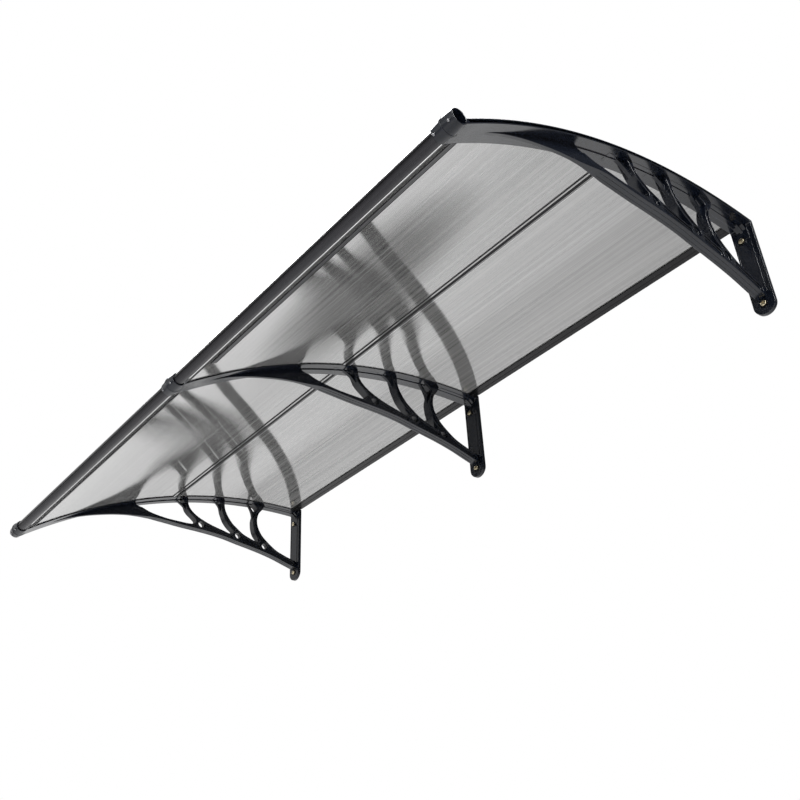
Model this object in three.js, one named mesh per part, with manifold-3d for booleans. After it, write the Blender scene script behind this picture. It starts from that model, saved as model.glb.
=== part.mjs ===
// Arched door canopy: three moulded wall brackets carry curved hollow sheets between a round-nosed
// front bar and a wall rail, in two bays. Millimetres, +Z up. X runs along the wall, the wall is the
// plane Y = 0 and the canopy projects towards -Y. The origin is the back face of the middle wall
// plate, midway between its two wall bolts.
import * as THREE from "three";
import { mergeVertices } from "three/addons/utils/BufferGeometryUtils.js";
import Module from "manifold-3d";

const wasm = await Module();
wasm.setup();

// ---- driving dimensions (heights are measured from the lower wall bolt) ----
const BOLT_MID = 96.5; // height of the origin above the lower wall bolt
const BAY = 965; // spacing of the brackets along the wall
const ARC_Z = -1412.6; // centre height of the arm's curve, in the wall plane
const R_UNDER = 1644.3; // underside of the arm
const FLANGE_T = 2.5; // arm flange thickness
const SHEET_T = 4.8; // hollow sheet thickness
const GAP = 0.3; // clearance between touching pieces
const R_SHEET = R_UNDER + FLANGE_T + GAP; // underside of the sheets
const R_SLOT = R_SHEET + SHEET_T + GAP; // underside of the upper flange
const R_TOP = R_SLOT + FLANGE_T; // top of the arm
const ARM_HALF = 27.8; // half width of arm and wall plate
const WEB_HALF = 4; // half thickness of the arm's middle web
const RIM_HALF = 13; // half width of the truss members over their rims
const CORE_HALF = 8; // half thickness of the truss members between rims
const RIM = 3.4; // rim height round the recessed sides
const PLATE_T = 10.2; // wall plate thickness
const PLATE_TOP = 241.6; // top of the wall plate
const UPPER_BOLT = [-6, 192.9]; // upper wall bolt, x and height
const HOLE_R = 10.4, SEAT_R = 13, RING_R = 15.6, BORE_HALF = 7; // round holes in the truss, their wide sunk seats and raised rings
const MARK = [11, 186.5], MARK_R = 7.2; // blind round recess beside the upper wall bolt
const HOLES = [[-396.7, 87.5], [-252.2, 81.0], [-142.8, 66.9]];
const LIP_Y = -981.6; // lower front edge of the arm
const TUBE_R = 14, TUBE_WALL = 2, TUBE_N = 15.8; // front bar: round nose and its height above the arm's underside
const COLLAR_BORE = 14.6, COLLAR_END = 17, COLLAR_MID = 18.6, COLLAR_RIDGE = 20.4;
const JOINER_Y = -507, JOINER_HALF = 15; // H-section joiner between front and rear sheets
const SHEET_FRONT = 20, SHEET_REAR_Y = -19; // sheet ends: behind the lip, and before the wall
const ARC_N = 22; // facets along the arm
const SHEET_INSET = 6; // sheet edge to the bracket's middle plane

// ---- helpers ----
const angleAt = (y, r) => Math.asin(-y / r);
const onArc = (y, r) => [y, ARC_Z + Math.sqrt(r * r - y * y)];
const arc = (y0, y1, r, n) =>
  Array.from({ length: n + 1 }, (_, i) => {
    const a = THREE.MathUtils.lerp(angleAt(y0, r), angleAt(y1, r), i / n);
    return [-r * Math.sin(a), ARC_Z + r * Math.cos(a)];
  });
const PHI = angleAt(LIP_Y, R_UNDER); // slope of the arm at its front end
const LIP = onArc(LIP_Y, R_UNDER);
// t runs up along the arm and n away from it, from the given foot on the underside
const local = (foot, a) => ([t, n]) => [
  foot[0] + t * Math.cos(a) - n * Math.sin(a),
  foot[1] + t * Math.sin(a) + n * Math.cos(a),
];
const front = local(LIP, PHI);
const circle = ([y, z], r, n, a0 = 0) =>
  Array.from({ length: n }, (_, i) => [
    y + r * Math.cos(a0 + (2 * Math.PI * i) / n),
    z + r * Math.sin(a0 + (2 * Math.PI * i) / n),
  ]);

function solid(geometry) {
  let g = geometry.clone();
  g.deleteAttribute("normal");
  g.deleteAttribute("uv");
  g = mergeVertices(g, 1e-4);
  return new wasm.Manifold(
    new wasm.Mesh({
      numProp: 3,
      vertProperties: new Float32Array(g.attributes.position.array),
      triVerts: new Uint32Array(g.index.array),
    }),
  );
}
// a profile in the plane across the wall, [y, z] points, carried along X from x0 to x1
const SIDEWAYS = new THREE.Matrix4().set(0, 0, 1, 0, 1, 0, 0, 0, 0, 1, 0, 0, 0, 0, 0, 1);
function prism(points, x0, x1) {
  const shape = new THREE.Shape(points.map((p) => new THREE.Vector2(...p)));
  const g = new THREE.ExtrudeGeometry(shape, { depth: x1 - x0, bevelEnabled: false, curveSegments: 4 });
  g.translate(0, 0, x0);
  g.applyMatrix4(SIDEWAYS);
  return solid(g);
}
// a closed profile of [radius, x] points turned round an axis that runs along X through [y, z]
function turned(profile, [y, z], n, x = 0) {
  const g = new THREE.LatheGeometry(profile.map((p) => new THREE.Vector2(...p)), n);
  g.rotateZ(-Math.PI / 2);
  g.translate(x, y, z);
  return solid(g);
}
// a round pin whose axis runs along Y, head towards -Y: [radius, y] points from the axis and back
function pin(profile, x, z, n) {
  const g = new THREE.LatheGeometry(profile.map((p) => new THREE.Vector2(...p)), n);
  g.translate(x, 0, z);
  return solid(g);
}
const box = (x0, x1, y0, y1, z0, z1) => {
  const g = new THREE.BoxGeometry(x1 - x0, y1 - y0, z1 - z0);
  g.translate((x0 + x1) / 2, (y0 + y1) / 2, (z0 + z1) / 2);
  return solid(g);
};
// moves a polyline sideways by d, to the left of its direction
function offset(points, d) {
  return points.map((p, i) => {
    const a = points[Math.max(i - 1, 0)], b = points[Math.min(i + 1, points.length - 1)];
    const l = Math.hypot(b[0] - a[0], b[1] - a[1]);
    return [p[0] - (d * (b[1] - a[1])) / l, p[1] + (d * (b[0] - a[0])) / l];
  });
}
const smooth = (points, n) =>
  new THREE.SplineCurve(points.map((p) => new THREE.Vector2(...p))).getPoints(n).map((v) => [v.x, v.y]);

// ---- bracket outline ----
const webLow = [[-908, -41.2], [-880, -25.2], [-850, -8.5], [-800, 14], [-750, 31.5], [-700, 46], [-650, 56.5], [-600, 63]];
const chordLow = [[-580, 65], [-535, 65.5], [-471, 64.5], [-400, 65.5], [-350, 65], [-300, 62], [-250, 55.5], [-200, 50], [-150, 43.5], [-100, 34.5], [-50, 22], [-9, 12]];
const brace1Front = [[-507, 154], [-492, 150.2], [-481, 145.3], [-467, 136], [-457, 127], [-447, 117], [-431, 106], [-419, 97]];
const brace1Rear = [[-456, 174], [-453, 148], [-444, 132], [-422, 115], [-389, 101], [-356, 92], [-313, 84], [-288, 79.5]];
const brace2Front = [[-368, 193], [-357, 189.5], [-347, 185.5], [-338, 178.5], [-330, 168], [-322, 154.5], [-316, 141], [-307, 124], [-288, 104], [-276, 96]];
const brace2Rear = [[-315, 206], [-312, 171], [-302, 148], [-280, 121], [-256, 104], [-235, 91], [-209, 82], [-180, 75.5]];
const brace3Front = [[-223, 219.5], [-216, 211.5], [-210, 203], [-204, 192.5], [-199, 180], [-196.5, 165], [-196, 152], [-193, 125], [-185, 104], [-171, 88]];
const brace3Rear = [[-148, 230], [-160, 204], [-173, 186], [-179, 163], [-177, 140], [-169, 121], [-156, 103], [-133, 84], [-115, 72], [-97, 62], [-54, 48], [-27, 42], [-9.6, 38.5]];
// front edges of the full-width part of each brace: above, it forks off a thin prong with a window behind it
const body1 = [[-474.5, 161.4], [-468.5, 150.5], [-463, 140], [-457, 127], [-447, 117], [-431, 106], [-419, 97]];
const body2 = [[-335, 197], [-330.5, 184], [-326.5, 171], [-322, 154.5], [-316, 141], [-307, 124], [-288, 104], [-276, 96]];
const body3 = [[-199.5, 219.2], [-190, 212], [-182, 203.5], [-184.5, 193], [-189.5, 180], [-194, 166], [-196, 152], [-193, 125], [-185, 104], [-171, 88]];
const forks = [
  [[-520, 142], [-520, 176], [-474.5, 176], ...body1.slice(0, 4), [-462, 122], [-480, 134], [-500, 140]],
  [[-382, 186], [-382, 212], [-335, 212], ...body2.slice(0, 4), [-330, 150], [-345, 165], [-365, 182]],
  [[-235, 208], [-235, 232], [-199.5, 232], ...body3.slice(0, 7), [-204, 152], [-207, 180], [-222, 205]],
];
const windows = [
  [[-494.5, 155.2], [-484, 158.6], [-474.5, 161.3], [-468.5, 150.5], [-472, 146.8], [-482, 149.8]],
  [[-355.5, 192.4], [-346, 194.6], [-335, 196.9], [-330.5, 184], [-333.5, 180], [-343.5, 187.2]],
  [[-215.5, 217.1], [-208, 218.1], [-199.5, 219.1], [-190, 212], [-182, 203.5], [-184.5, 196], [-191, 190.5], [-197.5, 197], [-206, 208]],
];
const under = (y0, y1, n, lift = 1.2) => arc(y0, y1, R_UNDER + lift, n); // just inside the arm's lower flange
const open1 = [
  ...[[-638, 101], [-633, 97.5], [-621, 95], [-590, 83], [-560, 77], [-525, 74.5], [-487, 75], [-450, 76.5], [-430, 79.5], [-419, 87]],
  ...brace1Front.slice().reverse(),
  ...under(-520, -639, 3, -0.4),
];
const open2 = [...brace1Rear, [-274, 82], [-269.5, 89], ...brace2Front.slice().reverse(), ...under(-373, -452, 2, -0.4)];
const open3 = [...brace2Rear, [-166, 75], [-161.5, 80.5], ...brace3Front.slice().reverse(), ...under(-226, -310, 2, -0.4)];
const open4 = [...brace3Rear, [-PLATE_T + 0.6, onArc(-10, R_UNDER)[1] - 12], [-22, 229.8], ...under(-26, -144, 3, -1.2)];
const outline = [...webLow, ...chordLow, [-9, 236], ...under(-12, -906, 18)];

function recess(a, b) { // a hollow between two member edges, both listed top to bottom, a on the left
  return [...offset(a, RIM), ...offset(b, -RIM).reverse()];
}
const pockets = [
  recess(smooth(body1.slice(1), 4), smooth(brace1Rear.slice(1, 5), 4)),
  recess(smooth(body2.slice(1), 5), smooth(brace2Rear.slice(1, 6), 5)),
  recess(smooth(body3.slice(3), 6), smooth(brace3Rear.slice(2, 8), 6)),
  [...offset([[-590, 65], [-535, 65.5], [-471, 64.5], [-424, 65.2]], RIM).map(([y, z]) => [y, z]), ...offset([[-428, 79.5], [-487, 75], [-525, 74.5], [-560, 77], [-588, 82]], RIM)],
];
const pocketChord = [
  [[-376, 69], [-350, 68.4], [-300, 65.6], [-276, 62.4], [-274, 76], [-288, 76.2], [-313, 80.6], [-356, 88.4], [-374, 92]],
  [[-232, 56.6], [-200, 53.4], [-165, 49], [-163, 66], [-180, 71.8], [-209, 78.4], [-230, 84.6]],
  [[-122, 42.3], [-100, 38], [-60, 28], [-22, 19.6], [-22, 37.6], [-54, 44.4], [-97, 58.2], [-116, 66]],
];

function bracket() {
  const strip = (r0, r1, y0, n) => prism([...arc(y0, -0.5, r0, n), ...arc(-0.5, y0, r1, n)], -ARM_HALF, ARM_HALF);
  let b = strip(R_UNDER, R_UNDER + FLANGE_T, LIP_Y + 1, ARC_N)
    .add(strip(R_SLOT, R_TOP, LIP_Y + 4, ARC_N))
    .add(prism([...arc(LIP_Y + 2, -4, R_UNDER + 1, ARC_N), ...arc(-4, LIP_Y + 2, R_TOP - 1, ARC_N)], -WEB_HALF, WEB_HALF));
  // open truss below the arm, solid at the front, and its thin front web
  b = b.add(prism(outline, -WEB_HALF, WEB_HALF));
  const wide = [[-654, 55.8], [-625, 60], [-600, 63], ...chordLow, [-9, 236], ...under(-12, -520, 10), [-560, 128], [-600, 102], [-645, 82]];
  // seen from above the truss narrows forward into the thin web
  const side = [[4.3, -660], [4.3, -650], [5.6, -625], [8.7, -597], [11.6, -570], [RIM_HALF, -544], [RIM_HALF, 0]];
  const plan = new THREE.Shape([...side, ...side.map(([x, y]) => [-x, y]).reverse()].map((p) => new THREE.Vector2(...p)));
  let truss = prism(wide, -RIM_HALF, RIM_HALF).intersect(solid(new THREE.ExtrudeGeometry(plan, { depth: 300, bevelEnabled: false })));
  for (const p of forks) truss = truss.subtract(prism(p, WEB_HALF, RIM_HALF + 1)).subtract(prism(p, -RIM_HALF - 1, -WEB_HALF));
  b = b.add(truss);
  const cut = (poly, half = RIM_HALF + 1) => prism(poly, -half, half);
  const holesThrough = [open1, open2, open3, open4].map((p) => cut(p));
  for (const h of holesThrough) b = b.subtract(h);
  for (const p of [...pockets, ...pocketChord]) {
    b = b.subtract(prism(p, CORE_HALF, RIM_HALF + 1)).subtract(prism(p, -RIM_HALF - 1, -CORE_HALF));
  }
  // small windows where each brace forks under the arm
  for (const w of windows) b = b.subtract(cut(w));
  // raised rings and round holes
  for (const h of HOLES) {
    b = b.add(prism(circle(h, RING_R, 14), -RIM_HALF, RIM_HALF));
    b = b.subtract(prism(circle(h, HOLE_R, 14), -RIM_HALF - 1, RIM_HALF + 1));
    for (const s of [-1, 1]) b = b.subtract(prism(circle(h, SEAT_R, 14), s > 0 ? BORE_HALF : -RIM_HALF - 1, s > 0 ? RIM_HALF + 1 : -BORE_HALF));
  }
  // low rib under the arm, from the solid front to the wall plate
  b = b.add(prism([...arc(-645, -10, R_UNDER + 1, 9), ...arc(-10, -645, R_UNDER - 2.6, 9)], -1.6, 1.6));
  b = b.add(prism([[-9.4, 214], [-19, 224], [-33, 230.6], [-9.4, 232.4]], -3.5, 3.5));
  // wall plate with a round lower end, shallow channels and a seat round each bolt
  const end = Array.from({ length: 11 }, (_, i) => Math.PI + (Math.PI * i) / 10);
  const plateShape = new THREE.Shape([
    ...end.map((a) => new THREE.Vector2(ARM_HALF * Math.cos(a), ARM_HALF * Math.sin(a))),
    new THREE.Vector2(ARM_HALF, PLATE_TOP),
    new THREE.Vector2(-ARM_HALF, PLATE_TOP),
  ]);
  const pg = new THREE.ExtrudeGeometry(plateShape, { depth: PLATE_T, bevelEnabled: false });
  pg.rotateX(Math.PI / 2); // the outline's height runs up and its depth runs to -Y
  b = b.add(solid(pg));
  for (const s of [-1, 1]) {
    const x0 = s > 0 ? RIM_HALF + 2.5 : -24.4;
    b = b.subtract(box(x0, x0 + 8.9, -PLATE_T - 1, -PLATE_T + 1.4, 26, 226));
  }
  // upper flange runs out over the plate's top edge
  b = b.add(prism([[-8, 236], [0, 236], [0, PLATE_TOP], [-8, PLATE_TOP]], -ARM_HALF, ARM_HALF));
  // collar round the ends of the front bar
  const axis = front([0, TUBE_N]);
  b = b.add(prism([[14, 0], [26, 0], [26, 1.5], [19.4, 1.5], [19.4, 9], [26, 9], [26, 10.3], [8, 10.3], [2, 2]].map(front), -ARM_HALF, ARM_HALF));
  b = b.add(turned([[0, -ARM_HALF], [COLLAR_END, -ARM_HALF], [COLLAR_MID, -4.2], [COLLAR_RIDGE, -4], [COLLAR_RIDGE, 0], [COLLAR_RIDGE - 0.8, 0.2], [COLLAR_END + 0.3, ARM_HALF - 0.5], [COLLAR_END - 0.2, ARM_HALF], [0, ARM_HALF]], axis, 20));
  for (const s of [-1, 1])
    b = b.subtract(turned(s > 0 ? [[0, 2], [COLLAR_BORE, 2], [COLLAR_BORE, ARM_HALF + 1], [0, ARM_HALF + 1]] : [[0, -ARM_HALF - 1], [COLLAR_BORE, -ARM_HALF - 1], [COLLAR_BORE, -2], [0, -2]], axis, 20));
  // bolt holes through the plate and screw holes in the collar
  for (const [x, z] of [[0, 0], UPPER_BOLT])
    b = b.subtract(pin([[0, -PLATE_T - 1], [4.6, -PLATE_T - 1], [4.6, 1], [0, 1]], x, z, 12))
      .subtract(pin([[0, -PLATE_T - 1], [10.6, -PLATE_T - 1], [10.6, -PLATE_T + 1.2], [0, -PLATE_T + 1.2]], x, z, 16));
  b = b.subtract(pin([[0, -PLATE_T - 1], [MARK_R, -PLATE_T - 1], [MARK_R, -PLATE_T + 2.2], [0, -PLATE_T + 2.2]], ...MARK, 16));
  for (const x of SCREW_X) b = b.subtract(collarScrew(x, 0.3));
  return b;
}

// ---- small fasteners ----
const SCREW_X = [-22, 16];
// a pan-head screw through the collar's lower front, pointing at the bar's axis; grow widens it for its hole
function collarScrew(x, grow = 0) {
  const r0 = TUBE_R + 0.45 - (grow ? 1 : 0), g = grow;
  const seat = x < 0 ? COLLAR_END + 0.47 : COLLAR_END + 1.57;
  const profile = grow
    ? [[0, r0], [1.5 + g, r0], [1.5 + g, 30], [0, 30]]
    : [[0, r0], [1.5, r0], [1.5, seat + 0.3], [3.1, seat + 0.3], [2.9, seat + 1.3], [1.8, seat + 2.1], [0, seat + 2.3]];
  const geo = new THREE.LatheGeometry(profile.map((p) => new THREE.Vector2(...p)), 8);
  geo.rotateX(Math.PI / 2); // along Y first, head towards +Y
  geo.rotateX(Math.PI + PHI - 0.06); // head turned to face the lower front
  const [y, z] = front([0, TUBE_N]);
  geo.translate(x, y, z);
  return solid(geo);
}
const HEAD_Y = -PLATE_T + 1.2 - 0.3; // seat of the washer
const washer = (x, z) => {
  const g = new THREE.LatheGeometry([[4.4, HEAD_Y - 1.6], [9.6, HEAD_Y - 1.6], [9.6, HEAD_Y], [4.4, HEAD_Y], [4.4, HEAD_Y - 1.6]].map((p) => new THREE.Vector2(...p)), 16);
  g.translate(x, 0, z);
  return solid(g);
};
const wallBolt = (x, z) => {
  const y = HEAD_Y - 1.6 - 0.3;
  const b = pin([[0, y - 4.6], [4.2, y - 4.6], [6.6, y - 3.4], [7.2, y - 1.4], [7.2, y], [3.9, y], [3.9, -0.4], [0, -0.4]], x, z, 12);
  const cross = box(x - 4.4, x + 4.4, y - 6, y - 2.6, z - 0.7, z + 0.7).add(box(x - 0.7, x + 0.7, y - 6, y - 2.6, z - 4.4, z + 4.4));
  return b.subtract(cross);
};

// ---- bar, rail, joiner, sheets and seals: profiles carried along one bay ----
function frontBar(x0, x1) {
  const c = front([0, TUBE_N]);
  const tube = circle(c, TUBE_R, 28, PHI);
  const tail = [[3.4, 0], [26, -0.2], [26, 2], [14, 2.2], [14, 7.9], [37, 7.9], [36, 9.6], [13, 12], [6, 12], [5, 4]].map(front);
  let b = prism(tail, x0 + ARM_HALF + GAP, x1 - ARM_HALF - GAP).add(prism(tube, x0 + 3.5, x1 - 3.5));
  b = b.subtract(prism(circle(c, TUBE_R - TUBE_WALL, 20, PHI), x0, x1));
  // twin grooves along the nose
  for (const a of [2.86, 2.98]) {
    const p = (r, d) => [r * Math.cos(a + d), TUBE_N + r * Math.sin(a + d)];
    b = b.subtract(prism([p(TUBE_R - 0.7, -0.03), p(TUBE_R + 1, -0.05), p(TUBE_R + 1, 0.05), p(TUBE_R - 0.7, 0.03)].map(front).reverse(), x0, x1));
  }
  return b;
}
const seal = (x0, x1, wide) => prism((wide ? [[26.3, 0], [42, -0.4], [42, 1.8], [26.3, 2.1]] : [[26.3, 0], [31.5, -0.1], [31.5, 1.9], [26.3, 2.1]]).map(front), x0, x1); // the left bay's is a narrow strip
function joiner(x0, x1) {
  const j = local(onArc(JOINER_Y, R_UNDER), angleAt(JOINER_Y, R_UNDER));
  const lo = FLANGE_T - 1.5, li = FLANGE_T, ui = R_SLOT - R_UNDER, uo = ui + 1.5, h = JOINER_HALF, w = 0.9, c = 3.8;
  return prism([[-h, lo], [-c, lo], [-c, lo - 0.5], [c, lo - 0.5], [c, lo], [h, lo], [h, li], [w, li], [w, ui], [h, ui], [h, uo], [-h, uo], [-h, ui], [-w, ui], [-w, li], [-h, li]].map(j), x0 + ARM_HALF + GAP, x1 - ARM_HALF - GAP);
}
const wallRail = (x0, x1) =>
  prism([[-46, 231], [-32, 231], [-31.4, 231.9], [-29.6, 231.9], [-29, 231], [-16, 231], [-16, 243.7], [0, 243.7], [0, 256], [-2, 256], [-2, 245.7], [-18, 245.7], [-18, 241.6], [-46, 241.6], [-46, 239.6], [-18, 239.6], [-18, 233.4], [-46, 233.4]], x0 + ARM_HALF + GAP, x1 - ARM_HALF - GAP);
function sheet(y0, y1, x0, x1, n) {
  const k = (R_SHEET + SHEET_T) / R_SHEET; // both ends are cut square to the sheet
  return prism([...arc(y0, y1, R_SHEET, n), ...arc(y1 * k, y0 * k, R_SHEET + SHEET_T, n)], x0 + SHEET_INSET, x1 - SHEET_INSET);
}

// ---- assembly ----
const plastic = (color) => new THREE.MeshStandardMaterial({ color, roughness: 0.38, metalness: 0 });
const BLACK = plastic(0x1c1e26), SEAL = plastic(0x101113), CLEAR = new THREE.MeshStandardMaterial({ color: 0x9b9ba0, roughness: 0.15, metalness: 0 });
const SMOKE = new THREE.MeshStandardMaterial({ color: 0xaaa9a8, roughness: 0.2, metalness: 0 });
const ANODISED = new THREE.MeshStandardMaterial({ color: 0x3c3b40, roughness: 0.35, metalness: 0.9 });
const STEEL = new THREE.MeshStandardMaterial({ color: 0xb9b4a8, roughness: 0.3, metalness: 1 });
const ZINC = new THREE.MeshStandardMaterial({ color: 0xb59a6a, roughness: 0.35, metalness: 1 });

function mesh(name, body, material) {
  const m = body.getMesh();
  const g = new THREE.BufferGeometry();
  g.setAttribute("position", new THREE.BufferAttribute(new Float32Array(m.vertProperties), 3));
  g.setIndex(new THREE.BufferAttribute(new Uint32Array(m.triVerts), 1));
  g.computeVertexNormals();
  const out = new THREE.Mesh(g, material);
  out.name = name;
  return out;
}

const canopy = new THREE.Group();
const frame = new THREE.Group();
frame.position.z = -BOLT_MID;
canopy.add(frame);

const bracketBody = bracket();
for (const [side, x] of [["left", -BAY], ["middle", 0], ["right", BAY]]) {
  const post = new THREE.Group();
  post.position.x = x;
  frame.add(post);
  post.add(mesh(`bracket_${side}`, bracketBody, BLACK));
  [["lower", 0, 0], ["upper", ...UPPER_BOLT]].forEach(([where, bx, bz]) => {
    post.add(mesh(`wall_bolt_${side}_${where}`, wallBolt(bx, bz), ZINC));
    post.add(mesh(`bolt_washer_${side}_${where}`, washer(bx, bz), STEEL));
  });
  SCREW_X.forEach((sx, i) => post.add(mesh(`collar_screw_${side}_${i ? "b" : "a"}`, collarScrew(sx), STEEL)));
}
const joinAt = angleAt(JOINER_Y, R_UNDER);
const jf = local([-R_SHEET * Math.sin(joinAt), ARC_Z + R_SHEET * Math.cos(joinAt)], joinAt);
for (const [side, x0, x1] of [["left", -BAY, 0], ["right", 0, BAY]]) {
  frame.add(mesh(`front_bar_${side}`, frontBar(x0, x1), ANODISED));
  frame.add(mesh(`front_seal_${side}`, seal(x0 + (side === "right" ? 118 : ARM_HALF + GAP), x1 - ARM_HALF - GAP, side === "right"), SEAL));
  frame.add(mesh(`joiner_${side}`, joiner(x0, x1), CLEAR));
  frame.add(mesh(`wall_rail_${side}`, wallRail(x0, x1), ANODISED));
  frame.add(mesh(`sheet_front_${side}`, sheet(front([SHEET_FRONT, 0])[0], jf([-2.4, 0])[0], x0, x1, 14), SMOKE));
  frame.add(mesh(`sheet_rear_${side}`, sheet(jf([2.4, 0])[0], SHEET_REAR_Y, x0, x1, 14), SMOKE));
}

export default canopy;
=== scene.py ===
"""Looks of an arched door canopy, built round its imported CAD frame. Metres in the row frame; the shape
helpers work in millimetres with heights measured from the lower wall bolt, as the CAD outlines do."""

import math

import bmesh
import bpy
import numpy as np
from mathutils import Matrix, Vector
from mathutils.geometry import tessellate_polygon


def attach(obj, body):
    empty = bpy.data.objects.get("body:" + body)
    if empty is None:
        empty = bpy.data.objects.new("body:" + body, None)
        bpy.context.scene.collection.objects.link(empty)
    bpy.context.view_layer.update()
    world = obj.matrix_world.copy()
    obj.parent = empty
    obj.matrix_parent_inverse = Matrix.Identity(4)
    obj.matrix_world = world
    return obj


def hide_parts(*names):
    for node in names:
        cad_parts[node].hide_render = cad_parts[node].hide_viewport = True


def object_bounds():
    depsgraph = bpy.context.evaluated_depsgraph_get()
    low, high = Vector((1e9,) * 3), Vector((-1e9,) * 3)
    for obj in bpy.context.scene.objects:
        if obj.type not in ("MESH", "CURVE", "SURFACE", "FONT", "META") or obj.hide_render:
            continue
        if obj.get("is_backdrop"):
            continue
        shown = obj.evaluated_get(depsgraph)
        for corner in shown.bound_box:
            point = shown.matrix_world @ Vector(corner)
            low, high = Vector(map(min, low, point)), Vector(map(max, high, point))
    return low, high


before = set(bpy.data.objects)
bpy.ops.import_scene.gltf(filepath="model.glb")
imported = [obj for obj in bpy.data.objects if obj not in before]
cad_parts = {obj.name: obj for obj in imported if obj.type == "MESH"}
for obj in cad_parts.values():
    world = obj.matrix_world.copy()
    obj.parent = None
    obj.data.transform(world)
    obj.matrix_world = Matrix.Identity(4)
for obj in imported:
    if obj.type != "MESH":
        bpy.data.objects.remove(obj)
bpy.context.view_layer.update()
scene = bpy.context.scene

# ------------------------------------------------------------------ camera
ROT = (0.95493, 0.40829, -0.82921)
CAM_AT = Vector((1.7215, -1.7821, -1.4063))
LENS = 42.33


def make_camera():
    r = Vector(ROT)
    world_to_view = Matrix.Rotation(r.length, 3, r.normalized())
    right, down, ahead = (Vector(world_to_view[i]) for i in range(3))
    cam = bpy.data.cameras.new("camera")
    cam.lens, cam.sensor_width, cam.clip_start, cam.clip_end = LENS, 36.0, 0.05, 60.0
    ob = bpy.data.objects.new("camera", cam)
    m = Matrix((right, -down, -ahead)).transposed().to_4x4()
    m.translation = CAM_AT
    ob.matrix_world = m
    scene.collection.objects.link(ob)
    scene.camera = ob


make_camera()

# ------------------------------------------------------------------ dimensions, as in the CAD
BOLT_MID, BAY = 96.5, 965.0
ARC_Z, R_UNDER, FLANGE_T, SHEET_T, GAP = -1412.6, 1644.3, 2.5, 4.8, 0.3
R_SHEET = R_UNDER + FLANGE_T + GAP
R_SLOT = R_SHEET + SHEET_T + GAP
R_TOP = R_SLOT + FLANGE_T
ARM_HALF, WEB_HALF, RIM_HALF, CORE_HALF, RIM = 27.8, 4.0, 13.0, 8.0, 3.4
PLATE_T, PLATE_TOP = 10.2, 241.6
UPPER_BOLT = (-6.0, 192.9)
HOLE_R, RING_R, SEAT_R, BORE_HALF = 10.4, 15.6, 13.0, 7.0
HOLES = [(-396.7, 87.5), (-252.2, 81.0), (-142.8, 66.9)]
LIP_Y, TUBE_R, TUBE_WALL, TUBE_N = -981.6, 14.0, 2.0, 15.8
COLLAR_BORE, COLLAR_END, COLLAR_MID, COLLAR_RIDGE = 14.6, 17.0, 18.6, 20.4
JOINER_Y, JOINER_HALF = -507.0, 15.0
SHEET_FRONT, SHEET_REAR_Y, SHEET_INSET = 20.0, -19.0, 6.0
SCREW_X = (-22.0, 16.0)
FLUTE = 6.0  # pitch of the hollow sheet's inner ribs


def angle_at(y, r):
    return math.asin(-y / r)


def on_arc(y, r):
    return (y, ARC_Z + math.sqrt(r * r - y * y))


def arc(y0, y1, r, n):
    a0, a1 = angle_at(y0, r), angle_at(y1, r)
    return [
        (-r * math.sin(a0 + (a1 - a0) * i / n), ARC_Z + r * math.cos(a0 + (a1 - a0) * i / n))
        for i in range(n + 1)
    ]


PHI = angle_at(LIP_Y, R_UNDER)
LIP = on_arc(LIP_Y, R_UNDER)


def local(foot, a):
    return lambda p: (
        foot[0] + p[0] * math.cos(a) - p[1] * math.sin(a),
        foot[1] + p[0] * math.sin(a) + p[1] * math.cos(a),
    )


front = local(LIP, PHI)
AXIS = front((0, TUBE_N))
JA = angle_at(JOINER_Y, R_UNDER)
at_joiner = local(on_arc(JOINER_Y, R_UNDER), JA)


def circle(c, r, n, a0=0.0):
    return [
        (c[0] + r * math.cos(a0 + 2 * math.pi * i / n), c[1] + r * math.sin(a0 + 2 * math.pi * i / n))
        for i in range(n)
    ]


# ------------------------------------------------------------------ 2-D outlines
def area(loop):
    p = np.asarray(loop, float)
    q = np.roll(p, -1, 0)
    return 0.5 * float((p[:, 0] * q[:, 1] - p[:, 1] * q[:, 0]).sum())


def turned_to(loop, ccw):
    return list(loop) if (area(loop) > 0) == ccw else list(loop)[::-1]


def inset(loop, d):
    """Moves a closed outline to the left of its own direction by d."""
    p = np.asarray(loop, float)
    e0 = p - np.roll(p, 1, 0)
    e1 = np.roll(p, -1, 0) - p
    e0 /= np.maximum(np.linalg.norm(e0, axis=1, keepdims=True), 1e-9)
    e1 /= np.maximum(np.linalg.norm(e1, axis=1, keepdims=True), 1e-9)
    n0 = np.stack([-e0[:, 1], e0[:, 0]], 1)
    n1 = np.stack([-e1[:, 1], e1[:, 0]], 1)
    k = 1 + (n0 * n1).sum(1, keepdims=True)
    return p + d * (n0 + n1) / np.maximum(k, 0.35)


def offset_line(points, d):
    out = []
    for i, p in enumerate(points):
        a, b = points[max(i - 1, 0)], points[min(i + 1, len(points) - 1)]
        n = math.hypot(b[0] - a[0], b[1] - a[1])
        out.append((p[0] - d * (b[1] - a[1]) / n, p[1] + d * (b[0] - a[0]) / n))
    return out


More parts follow.
